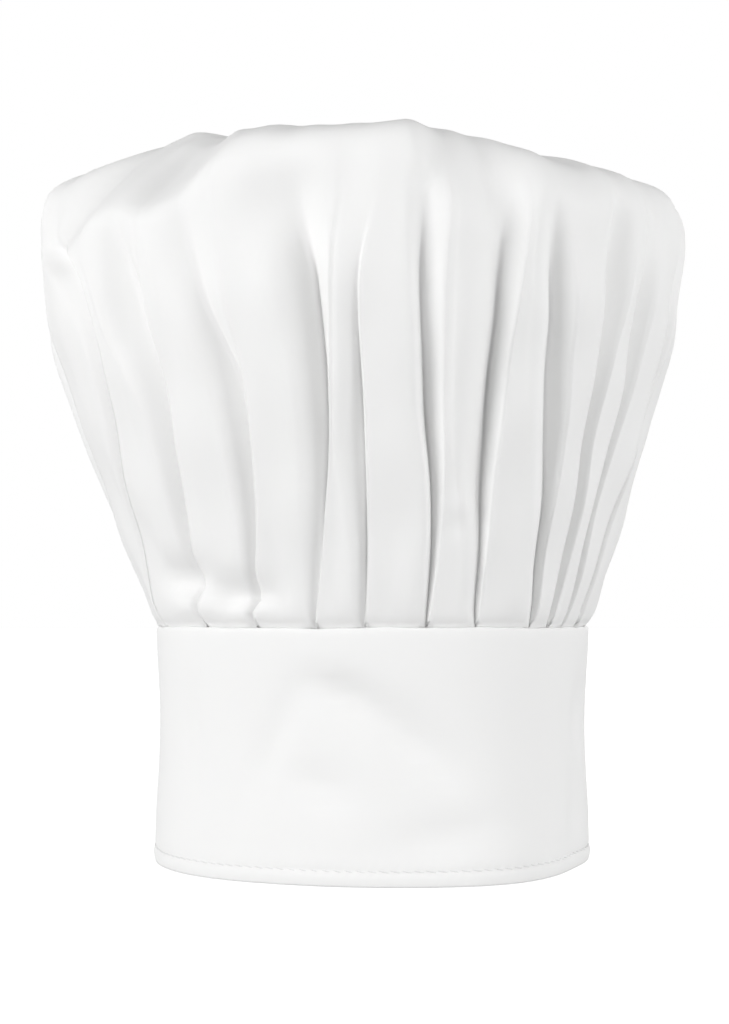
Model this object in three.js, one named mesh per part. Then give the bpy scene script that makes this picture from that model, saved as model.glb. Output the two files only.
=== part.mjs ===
// Chef hat: a tall pleated crown, cut from one disc of white cotton, gathered
// into a plain upright band whose lower edge is turned up and stitched as a hem.
// Millimetres, +Z up. The wearer's face looks along -Y, and the hem rests on z = 0.
import * as THREE from 'three';
import { ParametricGeometry } from 'three/addons/geometries/ParametricGeometry.js';

// Band: outside radius, height, cloth thickness and the step between head circle and crown
const BAND_RADIUS = 95.2;
const BAND_HEIGHT = 101;
const BAND_WALL = 2;
const BAND_COLUMNS = 60;

// Hem: height of the turned edge, how far it thickens the wall on the inside
const HEM_HEIGHT = 6.2;
const HEM_STEP = 0.8;

// Crown: cloth thickness, how far its edge is tucked down inside the band, gap kept to the band
const CROWN_WALL = 1.3;
const TUCK = 11;
const GAP = 0.5;

// The crown leans sideways by this much between the band and its widest place
const LEAN = 5;
const LEAN_HEIGHT = 130;

// Crown outline from the edge inside the band to the middle of the top:
// radius from the axis and rise above the band's upper edge
const TUCKED_RADIUS = BAND_RADIUS - BAND_WALL - GAP;
const OUTLINE = [
  { radius: TUCKED_RADIUS, rise: -TUCK },
  { radius: TUCKED_RADIUS, rise: -0.4 },
  { radius: 96.4, rise: 3 },
  { radius: 99.2, rise: 9.4 },
  { radius: 106.1, rise: 29 },
  { radius: 114.9, rise: 54.8 },
  { radius: 123.7, rise: 80.5 },
  { radius: 132.1, rise: 106.1 },
  { radius: 138, rise: 126 },
  { radius: 140.3, rise: 143 },
  { radius: 142, rise: 164 },
  { radius: 142, rise: 177 },
  { radius: 138, rise: 186.5 },
  { radius: 128, rise: 192 },
  { radius: 110, rise: 196.5 },
  { radius: 80, rise: 201.5 },
  { radius: 40, rise: 205 },
  { radius: 0, rise: 206 },
];

// Distance up the cloth, counted from the band's upper edge, of each outline row
let climbed = -TUCK;
OUTLINE.forEach((row, i) => {
  const below = OUTLINE[Math.max(i - 1, 0)];
  climbed += Math.hypot(row.radius - below.radius, row.rise - below.rise);
  row.up = climbed;
});
const TOP = climbed;

// Plan of the band: how far the hem departs from a circle, by the angle from the front
const PLAN = [
  { angle: -180, out: 1.5 },
  { angle: -90, out: 0 },
  { angle: -55, out: -1 },
  { angle: -22, out: -6 },
  { angle: 5, out: -4.5 },
  { angle: 35, out: 2 },
  { angle: 66, out: -3 },
  { angle: 90, out: -0.5 },
  { angle: 180, out: 1.5 },
];
const PLAN_AT_SEAM = 0.35;
const PLAN_FADE = 70;

// How far the crown's top rim stands above or below its outline, by the angle from the front
const RIM_LIFT = [
  { angle: -180, lift: 1 },
  { angle: -120, lift: 2 },
  { angle: -85, lift: 1.5 },
  { angle: -70, lift: 4 },
  { angle: -58, lift: 11 },
  { angle: -50, lift: 10.5 },
  { angle: -39, lift: 0.5 },
  { angle: -28, lift: 0 },
  { angle: -15, lift: -2.5 },
  { angle: 3, lift: -1.5 },
  { angle: 16, lift: 1 },
  { angle: 28, lift: -6.5 },
  { angle: 45, lift: -7.5 },
  { angle: 60, lift: -5.5 },
  { angle: 85, lift: -2.5 },
  { angle: 120, lift: 0 },
  { angle: 180, lift: 1 },
];
const LIFT_FROM = 110;
const LIFT_WHOLE = 190;

// Distances up the cloth at which the fold table gives each valley's angle and depth
const LEVELS = [0, 45, 95, 140, 170];

// One row for each pleat, round from the front left towards the right. at is the angle of its
// valley from the front at the five levels. At the upper four, deep is its depth, and slope and
// wall are the degrees taken by its gentle and its steep side. lap is how far the steep side's
// edge leans over the pleat before it.
const FOLDS = [
  { at: [-70, -62.5, -54, -54.5, -74], deep: [10, 11, 10, 5], lap: 2.5,
    slope: [5, 5, 7, 8], wall: [1.2, 1.2, 2.2, 6] },
  { at: [-47, -42.5, -38, -42.3, -46], deep: [11, 13, 12, 3], lap: 1.2,
    slope: [5, 7, 10.5, 9], wall: [1.2, 1.5, 5, 9] },
  { at: [-30.7, -25.3, -22, -27.2, -30], deep: [9, 12, 7, 3], lap: 0.7,
    slope: [4, 7, 8, 9], wall: [1.5, 1.5, 5, 7] },
  { at: [-14.6, -10.3, -7, -7.4, -10.5], deep: [8, 14, 16, 9], lap: 0.5,
    slope: [4.5, 6, 8, 11], wall: [1.2, 1.6, 4, 7] },
  { at: [-2.2, -0.9, -0.3, -0.5, 1.5], deep: [8, 8, 2.5, 0], lap: 1.5,
    slope: [4.5, 6, 5, 4], wall: [1, 1, 1, 1] },
  { at: [12.8, 13.2, 11.6, 9.9, 10], deep: [8, 12, 10, 4], lap: 0.8,
    slope: [2.4, 3, 2.8, 4], wall: [1.8, 3, 4.2, 5] },
  { at: [25.6, 24.4, 24.6, 24.6, 24], deep: [9, 16, 14, 6], lap: 1,
    slope: [6, 10, 11, 12], wall: [0.8, 1.2, 2, 3] },
  { at: [42, 41, 38.5, 34.7, 32], deep: [8, 13, 12, 3], lap: 2,
    slope: [6, 8, 6.5, 4], wall: [0.8, 2, 2.5, 3] },
  { at: [49.5, 49, 47.2, 46, 46], deep: [8, 11, 12, 6], lap: 1,
    slope: [3, 2.5, 2.5, 3], wall: [1, 2, 5, 5] },
  { at: [57, 56, 56.8, 55.5, 56], deep: [9, 10, 11, 4], lap: 1.5,
    slope: [2.5, 2, 3, 3], wall: [1, 2, 4, 4] },
  { at: [66.5, 67.5, 71.5, 73, 75], deep: [9, 9, 9, 3], lap: 1.5,
    slope: [2.5, 3, 4, 4], wall: [1, 1.5, 2.5, 3] },
  { at: [85, 84, 86, 90, 94], deep: [11, 10, 7, 2], lap: 2,
    slope: [4.2, 5, 7, 9], wall: [1.7, 2, 4, 6] },
  { at: [101, 101, 103, 105, 108], deep: [12, 13, 8, 2], lap: 1,
    slope: [4.2, 5, 7, 9], wall: [1.7, 2, 4, 6] },
  { at: [118, 116, 118, 119, 117], deep: [10, 9, 6, 1], lap: 2,
    slope: [5.1, 6, 8, 10], wall: [1.3, 1.5, 3.5, 5.5] },
  { at: [134, 136, 137, 138, 142], deep: [13, 14, 10, 2], lap: 0.5,
    slope: [4.2, 5, 7, 9], wall: [1.7, 2, 4, 6] },
  { at: [151, 150, 152, 151, 148], deep: [10, 9, 6, 1], lap: 1,
    slope: [5.1, 6, 8, 10], wall: [1.3, 1.5, 3.5, 5.5] },
  { at: [168, 169, 167, 168, 171], deep: [13, 13, 9, 2], lap: 1,
    slope: [5.1, 6, 8, 10], wall: [1.7, 2, 4, 6] },
  { at: [184, 182, 184, 186, 189], deep: [9, 8, 5, 1], lap: 2,
    slope: [5.1, 6, 8, 10], wall: [1.3, 1.5, 3.5, 5.5] },
  { at: [200, 202, 203, 203, 200], deep: [13, 14, 10, 2], lap: 0.5,
    slope: [4.2, 5, 7, 9], wall: [1.7, 2, 4, 6] },
  { at: [216, 215, 217, 219, 222], deep: [10, 9, 6, 1], lap: 1,
    slope: [5.1, 6, 8, 10], wall: [1.3, 1.5, 3.5, 5.5] },
  { at: [232, 234, 234, 232, 230], deep: [12, 13, 9, 2], lap: 1,
    slope: [5.1, 6, 8, 10], wall: [1.7, 2, 4, 6] },
  { at: [247, 246, 249, 251, 253], deep: [10, 9, 6, 1], lap: 2,
    slope: [5.1, 6, 8, 10], wall: [1.3, 1.5, 3.5, 5.5] },
  { at: [262, 265, 266, 265, 262], deep: [12, 12, 8, 2], lap: 1,
    slope: [5.1, 6, 8, 10], wall: [1.7, 2, 4, 6] },
  { at: [277, 281, 284, 281, 272], deep: [10, 9, 6, 2], lap: 1,
    slope: [5.1, 6, 8, 10], wall: [1.3, 1.5, 3.5, 5.5] },
];

// Every pleat at the seam: depth, degrees of its two sides, and lap
const AT_SEAM = { deep: 4, slope: 3, wall: 1.2, lap: 2 };
// Largest share of the way between two valleys that the two sides may take
const SIDES_SHARE = 0.9;
// How the gentle side steepens towards the valley
const SLOPE_POWER = 1.6;
// Above the highest level a valley keeps this share of its depth at this distance up
const LAST_SHARE = 0.06;
const LAST_AT = 193;
// Hollow of the face between two valleys
const FACE_HOLLOW = 0.4;
// The pleats' crisp edges turn soft between these distances up the cloth
const SOFT_FROM = 135;
const SOFT_WHOLE = 185;

// Broad dents of the crown (puffs where deep is below zero): angle, distance up, depth, and
// half widths round and up
const CROWN_DENTS = [
  { angle: -15, up: 164, deep: 2, across: 6, along: 11 },
  { angle: -49, up: 24, deep: 8.5, across: 8, along: 7 },
  { angle: -47, up: 9, deep: -2.5, across: 9, along: 5 },
  { angle: -31, up: 17, deep: 8, across: 6.5, along: 5.5 },
  { angle: -31, up: 6, deep: -1.5, across: 7, along: 3 },
  { angle: -60, up: 40, deep: 2, across: 5, along: 14 },
  { angle: 130, up: 190, deep: 4, across: 14, along: 24 },
  { angle: -140, up: 196, deep: 4, across: 16, along: 22 },
  { angle: -100, up: 176, deep: 3, across: 12, along: 24 },
];

// Brow over the pleats: above this rise the shoulder is cut off by a slope, in this share
const BROW = [
  { angle: -78, rise: 140, share: 0 },
  { angle: -66, rise: 142, share: 0.36 },
  { angle: -58, rise: 144, share: 0.82 },
  { angle: -50, rise: 152, share: 1 },
  { angle: -43, rise: 157, share: 1 },
  { angle: -36, rise: 157, share: 1 },
  { angle: -30, rise: 161, share: 1 },
  { angle: -24, rise: 172, share: 0.9 },
  { angle: -19, rise: 183, share: 0.6 },
  { angle: -13, rise: 186, share: 0.2 },
  { angle: -8, rise: 186, share: 0.2 },
  { angle: 3, rise: 188, share: 0 },
  { angle: 7, rise: 180, share: 0.3 },
  { angle: 11, rise: 160, share: 0.4 },
  { angle: 16, rise: 150, share: 0.4 },
  { angle: 21, rise: 150, share: 0.4 },
  { angle: 25, rise: 160, share: 0.3 },
  { angle: 30, rise: 168, share: 0.3 },
  { angle: 36, rise: 166, share: 0.35 },
  { angle: 44, rise: 170, share: 0.3 },
  { angle: 51, rise: 172, share: 0.3 },
  { angle: 58, rise: 168, share: 0.3 },
  { angle: 66, rise: 164, share: 0.15 },
  { angle: 76, rise: 160, share: 0 },
];
// Widest radius of the shoulder, how far the slope goes in for each millimetre up, and how
// broadly its foot is rounded
const BROW_RADIUS = 142;
const BROW_SLOPE = 1.25;
const BROW_ROUND = 8;

// Soft dents of the band's outside: angle, height, depth, half widths, tilt of the long way
const BAND_DENTS = [
  { angle: -8, height: 80, deep: 4.2, across: 26, along: 8, tilt: -38 },
  { angle: 12, height: 56, deep: 3.6, across: 24, along: 7.5, tilt: -38 },
  { angle: -14, height: 36, deep: 2.6, across: 14, along: 6, tilt: -8 },
  { angle: 22, height: 20, deep: 2.2, across: 22, along: 6, tilt: 8 },
  { angle: -52, height: 58, deep: 2, across: 7, along: 28, tilt: 4 },
  { angle: -34, height: 46, deep: -1.6, across: 12, along: 20, tilt: 20 },
  { angle: 72, height: 62, deep: 3, across: 10, along: 16, tilt: 12 },
  { angle: 66, height: 22, deep: 1.6, across: 10, along: 12, tilt: -8 },
  { angle: 170, height: 50, deep: 1.4, across: 34, along: 12, tilt: 28 },
];
// The dents fade out between these heights, below the crown's tucked edge
const DENT_FADE = [74, 88];

// Columns of one pleat, and the shares of them at which its steep side and its face end
const PLEAT_COLUMNS = 6;
const WALL_END = 1 / PLEAT_COLUMNS;
const FACE_END = 4 / PLEAT_COLUMNS;
// Distances up the cloth of the crown's rings, from its tucked edge to its last ring
const RINGS = [-TUCK, 0, 4, 14, 30, 54, 84, 114, 138, 154, 166, 178, 190, 204, 236, 288];

const COTTON_WHITE = 0xf4f4f3;
const COTTON_ROUGHNESS = 0.9;

const radians = THREE.MathUtils.degToRad;

// Smooth curve through (xs, ys), straight on past neither end
function curveThrough(xs, ys, x) {
  const last = xs.length - 1;
  if (x <= xs[0]) return ys[0];
  if (x >= xs[last]) return ys[last];
  let i = 0;
  while (x > xs[i + 1]) i += 1;
  const slopeAt = (j) => {
    const before = Math.max(j - 1, 0);
    const after = Math.min(j + 1, last);
    return (ys[after] - ys[before]) / (xs[after] - xs[before]);
  };
  const span = xs[i + 1] - xs[i];
  const t = (x - xs[i]) / span;
  const rest = 1 - t;
  const fromHere = rest * rest * ((1 + 2 * t) * ys[i] + t * span * slopeAt(i));
  const fromNext = t * t * ((3 - 2 * t) * ys[i + 1] - rest * span * slopeAt(i + 1));
  return fromHere + fromNext;
}

// Turn of a to b, in degrees, the short way round
function turnBetween(a, b) {
  return ((((b - a) % 360) + 540) % 360) - 180;
}

// Departure of the plan from a circle, by angle from the front
function planOut(angle) {
  const turned = turnBetween(0, angle);
  return curveThrough(PLAN.map((row) => row.angle), PLAN.map((row) => row.out), turned);
}

// Share of the plan's departure at a height above the hem
function planShare(height) {
  if (height <= BAND_HEIGHT) return 1 + (PLAN_AT_SEAM - 1) * (height / BAND_HEIGHT);
  return PLAN_AT_SEAM * Math.max(0, 1 - (height - BAND_HEIGHT) / PLAN_FADE);
}

// Lift of the rim at an angle and distance up, gone again at the middle of the top
function rimLift(angle, up) {
  const turned = turnBetween(0, angle);
  const lift = curveThrough(RIM_LIFT.map((row) => row.angle), RIM_LIFT.map((row) => row.lift), turned);
  const { smoothstep } = THREE.MathUtils;
  return lift * smoothstep(up, LIFT_FROM, LIFT_WHOLE) * (1 - smoothstep(up, LIFT_WHOLE, TOP));
}

// Point at an angle from the front, a radius and a height, on the leaning axis
function placed(angle, radius, height) {
  const leanShare = THREE.MathUtils.smoothstep(height - BAND_HEIGHT, 0, LEAN_HEIGHT);
  const x = radius * Math.sin(radians(angle)) + LEAN * (1 - leanShare);
  const y = -radius * Math.cos(radians(angle));
  return new THREE.Vector3(x, y, height);
}

// Radius or rise of the crown's outline at a distance up the cloth
function outline(column, up) {
  return curveThrough(OUTLINE.map((row) => row.up), OUTLINE.map((row) => row[column]), up);
}

// Row of the fold table for any count, with its turns round the hat in degrees
function foldRow(count) {
  const index = ((count % FOLDS.length) + FOLDS.length) % FOLDS.length;
  return { row: FOLDS[index], turns: 360 * Math.floor(count / FOLDS.length) };
}

function valleyAngle(count, up) {
  const { row, turns } = foldRow(count);
  return turns + curveThrough(LEVELS, row.at, up);
}

function valleyDepth(count, up) {
  const { deep } = foldRow(count).row;
  const depths = [AT_SEAM.deep, ...deep, deep.at(-1) * LAST_SHARE, 0];
  return Math.max(0, curveThrough([...LEVELS, LAST_AT, TOP], depths, up));
}

// Degrees taken by one side of a pleat, its slope or its wall
function sideWidth(side, count, up) {
  return curveThrough(LEVELS, [AT_SEAM[side], ...foldRow(count).row[side]], up);
}

function lapAt(count, up) {
  const { lap } = foldRow(count).row;
  return curveThrough(LEVELS, [AT_SEAM.lap, lap, lap, lap, 0], up);
}

// Rounded way from 0 to 1
function roundFall(share) {
  return (1 - Math.cos(Math.PI * share)) / 2;
}

// How far the way from one value to another has been gone, between 0 and 1
function gone(value, from, to) {
  return THREE.MathUtils.clamp((value - from) / (to - from), 0, 1);
}

// Depth of the crown's broad dents and puffs
function crownDent(angle, up) {
  return CROWN_DENTS.reduce((sum, dent) => {
    const round = turnBetween(dent.angle, angle) / dent.across;
    const high = (up - dent.up) / dent.along;
    return sum + dent.deep * Math.exp(-round * round - high * high);
  }, 0);
}

// How far the brow's slope lies inside the shoulder, at an angle, radius and rise of the outline
function browCut(angle, radius, rise) {
  const turned = turnBetween(0, angle);
  const angles = BROW.map((row) => row.angle);
  const foot = curveThrough(angles, BROW.map((row) => row.rise), turned);
  const share = curveThrough(angles, BROW.map((row) => row.share), turned);
  if (rise <= foot) return 0;
  const over = Math.max(0, radius - BROW_RADIUS + BROW_SLOPE * (rise - foot));
  return (share * over * over) / (over + BROW_ROUND);
}

// Outside of the crown. along counts pleats and the share of the way to the next valley,
// up is the distance up the cloth from the band's upper edge.
function crownPoint(along, up) {
  const count = Math.floor(along);
  const part = along - count;
  const climb = gone(part, 0, WALL_END);
  const face = gone(part, WALL_END, FACE_END);
  const fall = gone(part, FACE_END, 1);

  const start = valleyAngle(count, up);
  const width = valleyAngle(count + 1, up) - start;
  const bothSides = sideWidth('wall', count, up) + sideWidth('slope', count + 1, up);
  const squeeze = Math.min(1, (SIDES_SHARE * width) / bothSides);
  const wall = squeeze * sideWidth('wall', count, up);
  const slope = squeeze * sideWidth('slope', count + 1, up);
  const faceWidth = width - wall - slope;

  const radiusHere = outline('radius', up);
  const riseHere = outline('rise', up);
  const lap = part < WALL_END ? climb : (1 - face) ** 2;
  const lapTurn = (THREE.MathUtils.radToDeg(lapAt(count, up)) / Math.max(radiusHere, 1)) * lap;
  const angle = start + wall * climb + faceWidth * face + slope * fall - lapTurn;

  const soft = THREE.MathUtils.smoothstep(up, SOFT_FROM, SOFT_WHOLE);
  const wallDrop = THREE.MathUtils.lerp(1 - climb, roundFall(1 - climb), soft);
  const slopeDrop = THREE.MathUtils.lerp(fall ** SLOPE_POWER, roundFall(fall), soft);
  const drop = valleyDepth(count, up) * wallDrop + valleyDepth(count + 1, up) * slopeDrop;
  const hollow = up > 0 ? FACE_HOLLOW * Math.sin(Math.PI * face) * (1 - soft) : 0;

  // The drop runs square to the outline, which leans over towards the top
  const steep = THREE.MathUtils.clamp((outline('rise', up + 1) - outline('rise', up - 1)) / 2, 0, 1);
  const flat = Math.sqrt(1 - steep * steep);
  const inward = drop + hollow + crownDent(angle, up);
  const plan = planOut(angle) * planShare(BAND_HEIGHT + riseHere);
  const brow = browCut(angle, radiusHere, riseHere);
  const radius = Math.max(0, radiusHere + plan - brow - inward * steep);
  return placed(angle, radius, BAND_HEIGHT + riseHere - inward * flat + rimLift(angle, up));
}

// Outward direction of the crown's cloth, from its neighbours round and up
function crownNormal(along, up) {
  const round = crownPoint(along + 0.03, up).sub(crownPoint(along - 0.03, up));
  const climb = crownPoint(along, up + 0.8).sub(crownPoint(along, up - 0.8));
  return round.cross(climb).normalize();
}

// Skin of the crown: from the middle of the top down the inside, round the tucked edge,
// and up the outside to the middle again
function crownGeometry() {
  const columns = FOLDS.length * PLEAT_COLUMNS;
  const rings = RINGS.length;
  const rows = 2 * rings + 1;
  const skin = (u, v, target) => {
    const column = Math.round(u * columns) % columns;
    const row = Math.round(v * rows);
    if (row === 0 || row === rows) {
      const inside = row === 0 ? CROWN_WALL : 0;
      target.copy(placed(0, 0, BAND_HEIGHT + OUTLINE.at(-1).rise - inside));
      return;
    }
    const outside = row > rings;
    const up = RINGS[outside ? row - rings - 1 : rings - row];
    const along = column / PLEAT_COLUMNS;
    target.copy(crownPoint(along, up));
    if (!outside) target.addScaledVector(crownNormal(along, up), -CROWN_WALL);
  };
  return new ParametricGeometry(skin, columns, rows);
}

// Section of the band, round its wall: height above the rest face and distance out from
// the band's radius. The hem is the same cloth turned up inside, below a row of stitches.
const BAND_SECTION = [
  { height: 0, out: 0.1 },
  { height: 2.6, out: 0.8 },
  { height: 5.4, out: 0.5 },
  { height: HEM_HEIGHT, out: -0.1 },
  { height: 20, out: 0 },
  { height: 36, out: -0.9 },
  { height: 50, out: -1.4 },
  { height: 64, out: -1.4 },
  { height: 76, out: -1 },
  { height: 88, out: -0.2 },
  { height: 99.4, out: 0.3 },
  { height: BAND_HEIGHT, out: -BAND_WALL / 2 },
  { height: 100.4, out: -BAND_WALL },
  { height: 88, out: -BAND_WALL },
  { height: 76, out: -1 - BAND_WALL },
  { height: 64, out: -1.4 - BAND_WALL },
  { height: 50, out: -1.4 - BAND_WALL },
  { height: 36, out: -0.9 - BAND_WALL },
  { height: 20, out: -BAND_WALL },
  { height: HEM_HEIGHT + 2, out: -BAND_WALL },
  { height: HEM_HEIGHT, out: -BAND_WALL - HEM_STEP },
  { height: 0.6, out: -BAND_WALL - HEM_STEP },
  { height: 0, out: -BAND_WALL - HEM_STEP + 0.5 },
];

// Depth of the band's soft dents at an angle and height
function bandDent(angle, height) {
  const share = 1 - THREE.MathUtils.smoothstep(height, ...DENT_FADE);
  return BAND_DENTS.reduce((sum, dent) => {
    const tilt = radians(dent.tilt);
    const round = radians(turnBetween(dent.angle, angle)) * BAND_RADIUS;
    const high = height - dent.height;
    const lengthwise = round * Math.cos(tilt) + high * Math.sin(tilt);
    const sideways = high * Math.cos(tilt) - round * Math.sin(tilt);
    const near = (lengthwise / dent.across) ** 2 + (sideways / dent.along) ** 2;
    return sum + share * dent.deep * Math.exp(-near);
  }, 0);
}

function bandGeometry() {
  const rows = BAND_SECTION.length;
  const skin = (u, v, target) => {
    const column = Math.round(u * BAND_COLUMNS) % BAND_COLUMNS;
    const { height, out } = BAND_SECTION[Math.round(v * rows) % rows];
    const angle = (360 * column) / BAND_COLUMNS;
    const dent = bandDent(angle, height);
    const radius = BAND_RADIUS + out - dent + planOut(angle) * planShare(height);
    target.copy(placed(angle, radius, height));
  };
  return new ParametricGeometry(skin, BAND_COLUMNS, rows);
}

function cotton() {
  return new THREE.MeshStandardMaterial({
    color: COTTON_WHITE,
    roughness: COTTON_ROUGHNESS,
    metalness: 0,
    side: THREE.DoubleSide,
  });
}

function piece(name, geometry) {
  const mesh = new THREE.Mesh(geometry, cotton());
  mesh.name = name;
  return mesh;
}

const hat = new THREE.Group();
hat.add(piece('band', bandGeometry()));
hat.add(piece('crown', crownGeometry()));

export default hat;
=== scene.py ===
"""Chef hat: the looks of a tall pleated crown gathered into a stitched band.

Laid out as an add-on with one operator for each piece and one for the stage.
The tables give millimetres and degrees, and the meshes are made in metres in
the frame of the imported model: +Z up, the front of the hat towards -Y.
"""

import math
from collections import namedtuple

import bpy
import numpy as np
from mathutils import Matrix, Vector


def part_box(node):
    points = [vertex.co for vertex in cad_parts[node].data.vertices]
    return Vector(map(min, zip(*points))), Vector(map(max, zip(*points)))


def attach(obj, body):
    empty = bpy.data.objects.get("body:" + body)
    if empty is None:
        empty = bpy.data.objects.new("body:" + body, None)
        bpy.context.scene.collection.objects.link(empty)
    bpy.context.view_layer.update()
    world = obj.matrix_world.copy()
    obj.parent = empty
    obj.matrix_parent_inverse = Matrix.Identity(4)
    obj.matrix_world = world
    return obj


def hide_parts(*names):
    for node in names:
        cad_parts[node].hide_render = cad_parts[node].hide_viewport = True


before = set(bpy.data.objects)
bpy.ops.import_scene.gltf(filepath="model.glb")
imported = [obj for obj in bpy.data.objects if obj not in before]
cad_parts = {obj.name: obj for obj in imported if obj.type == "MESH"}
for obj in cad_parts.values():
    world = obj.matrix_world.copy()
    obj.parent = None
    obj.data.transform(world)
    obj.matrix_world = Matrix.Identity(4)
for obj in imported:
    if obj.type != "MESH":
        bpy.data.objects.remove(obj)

bl_info = {
    "name": "Chef hat",
    "version": (1, 0, 0),
    "blender": (4, 5, 0),
    "location": "3D View > Sidebar > Chef hat",
    "description": "Builds a pleated cotton chef hat around its packed frame",
    "category": "Add Mesh",
}

MM = 0.001
BAND_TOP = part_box("band")[1].z

# The hat's form

BAND_RADIUS = 95.2
BAND_HEIGHT = BAND_TOP / MM
BAND_WALL = 2.0
# How far the crown's edge is tucked down inside the band, and its gap to the band
TUCK = 11.0
GAP = 0.5
# The crown leans sideways by this much between the band and its widest place
LEAN = 5.0
LEAN_HEIGHT = 130.0
TUCKED_RADIUS = BAND_RADIUS - BAND_WALL - GAP

# Crown outline from the edge inside the band to the middle of the top
Outline = namedtuple("Outline", "radius rise")
OUTLINE = [
    Outline(TUCKED_RADIUS, -TUCK),
    Outline(TUCKED_RADIUS, -0.4),
    Outline(96.4, 3),
    Outline(99.2, 9.4),
    Outline(106.1, 29),
    Outline(114.9, 54.8),
    Outline(123.7, 80.5),
    Outline(132.1, 106.1),
    Outline(138, 126),
    Outline(140.3, 143),
    Outline(142, 164),
    Outline(142, 177),
    Outline(138, 186.5),
    Outline(128, 192),
    Outline(110, 196.5),
    Outline(80, 201.5),
    Outline(40, 205),
    Outline(0, 206),
]
# Distance up the cloth, counted from the band's upper edge, of each outline row
UPS = [-TUCK]
for below, here in zip(OUTLINE, OUTLINE[1:]):
    UPS.append(UPS[-1] + math.hypot(here.radius - below.radius, here.rise - below.rise))
TOP = UPS[-1]

# How far the hem's plan departs from a circle, by the angle from the front
Plan = namedtuple("Plan", "angle out")
PLAN = [
    Plan(-180, 1.5), Plan(-90, 0), Plan(-55, -1), Plan(-22, -6), Plan(5, -4.5),
    Plan(35, 2), Plan(66, -3), Plan(90, -0.5), Plan(180, 1.5),
]
# Share of it left at the band's upper edge, and the height above in which the rest fades
PLAN_AT_SEAM = 0.35
PLAN_FADE = 70.0

# How far the top rim stands above or below its outline
Lift = namedtuple("Lift", "angle up")
RIM_LIFT = [
    Lift(-180, 1), Lift(-120, 2), Lift(-85, 1.5), Lift(-70, 4), Lift(-58, 11), Lift(-50, 10.5),
    Lift(-39, 0.5), Lift(-28, 0), Lift(-15, -2.5), Lift(3, -1.5), Lift(16, 1), Lift(28, -6.5),
    Lift(45, -7.5), Lift(60, -5.5), Lift(85, -2.5), Lift(120, 0), Lift(180, 1),
]
LIFT_FROM = (110.0, 190.0)

# One row for each pleat: angle of its valley at the levels, then at the upper four its
# depth and the degrees of its gentle and its steep side, lap of the steep side's edge
LEVELS = [0, 45, 95, 140, 170]
Pleat = namedtuple("Pleat", "at deep slope wall lap")
PLEATS = [
    Pleat((-70, -62.5, -54, -54.5, -74), (10, 11, 10, 5), (5, 5, 7, 8), (1.2, 1.2, 2.2, 6), 2.5),
    Pleat((-47, -42.5, -38, -42.3, -46), (11, 13, 12, 3), (5, 7, 10.5, 9), (1.2, 1.5, 5, 9), 1.2),
    Pleat((-30.7, -25.3, -22, -27.2, -30), (9, 12, 7, 3), (4, 7, 8, 9), (1.5, 1.5, 5, 7), 0.7),
    Pleat((-14.6, -10.3, -7, -7.4, -10.5), (8, 14, 16, 9), (4.5, 6, 8, 11), (1.2, 1.6, 4, 7), 0.5),
    Pleat((-2.2, -0.9, -0.3, -0.5, 1.5), (8, 8, 2.5, 0), (4.5, 6, 5, 4), (1, 1, 1, 1), 1.5),
    Pleat((12.8, 13.2, 11.6, 9.9, 10), (8, 12, 10, 4), (2.4, 3, 2.8, 4), (1.8, 3, 4.2, 5), 0.8),
    Pleat((25.6, 24.4, 24.6, 24.6, 24), (9, 16, 14, 6), (6, 10, 11, 12), (0.8, 1.2, 2, 3), 1),
    Pleat((42, 41, 38.5, 34.7, 32), (8, 13, 12, 3), (6, 8, 6.5, 4), (0.8, 2, 2.5, 3), 2),
    Pleat((49.5, 49, 47.2, 46, 46), (8, 11, 12, 6), (3, 2.5, 2.5, 3), (1, 2, 5, 5), 1),
    Pleat((57, 56, 56.8, 55.5, 56), (9, 10, 11, 4), (2.5, 2, 3, 3), (1, 2, 4, 4), 1.5),
    Pleat((66.5, 67.5, 71.5, 73, 75), (9, 9, 9, 3), (2.5, 3, 4, 4), (1, 1.5, 2.5, 3), 1.5),
    Pleat((85, 84, 86, 90, 94), (11, 10, 7, 2), (4.2, 5, 7, 9), (1.7, 2, 4, 6), 2),
    Pleat((101, 101, 103, 105, 108), (12, 13, 8, 2), (4.2, 5, 7, 9), (1.7, 2, 4, 6), 1),
    Pleat((118, 116, 118, 119, 117), (10, 9, 6, 1), (5.1, 6, 8, 10), (1.3, 1.5, 3.5, 5.5), 2),
    Pleat((134, 136, 137, 138, 142), (13, 14, 10, 2), (4.2, 5, 7, 9), (1.7, 2, 4, 6), 0.5),
    Pleat((151, 150, 152, 151, 148), (10, 9, 6, 1), (5.1, 6, 8, 10), (1.3, 1.5, 3.5, 5.5), 1),
    Pleat((168, 169, 167, 168, 171), (13, 13, 9, 2), (5.1, 6, 8, 10), (1.7, 2, 4, 6), 1),
    Pleat((184, 182, 184, 186, 189), (9, 8, 5, 1), (5.1, 6, 8, 10), (1.3, 1.5, 3.5, 5.5), 2),
    Pleat((200, 202, 203, 203, 200), (13, 14, 10, 2), (4.2, 5, 7, 9), (1.7, 2, 4, 6), 0.5),
    Pleat((216, 215, 217, 219, 222), (10, 9, 6, 1), (5.1, 6, 8, 10), (1.3, 1.5, 3.5, 5.5), 1),
    Pleat((232, 234, 234, 232, 230), (12, 13, 9, 2), (5.1, 6, 8, 10), (1.7, 2, 4, 6), 1),
    Pleat((247, 246, 249, 251, 253), (10, 9, 6, 1), (5.1, 6, 8, 10), (1.3, 1.5, 3.5, 5.5), 2),
    Pleat((262, 265, 266, 265, 262), (12, 12, 8, 2), (5.1, 6, 8, 10), (1.7, 2, 4, 6), 1),
    Pleat((277, 281, 284, 281, 272), (10, 9, 6, 2), (5.1, 6, 8, 10), (1.3, 1.5, 3.5, 5.5), 1),
]
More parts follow.
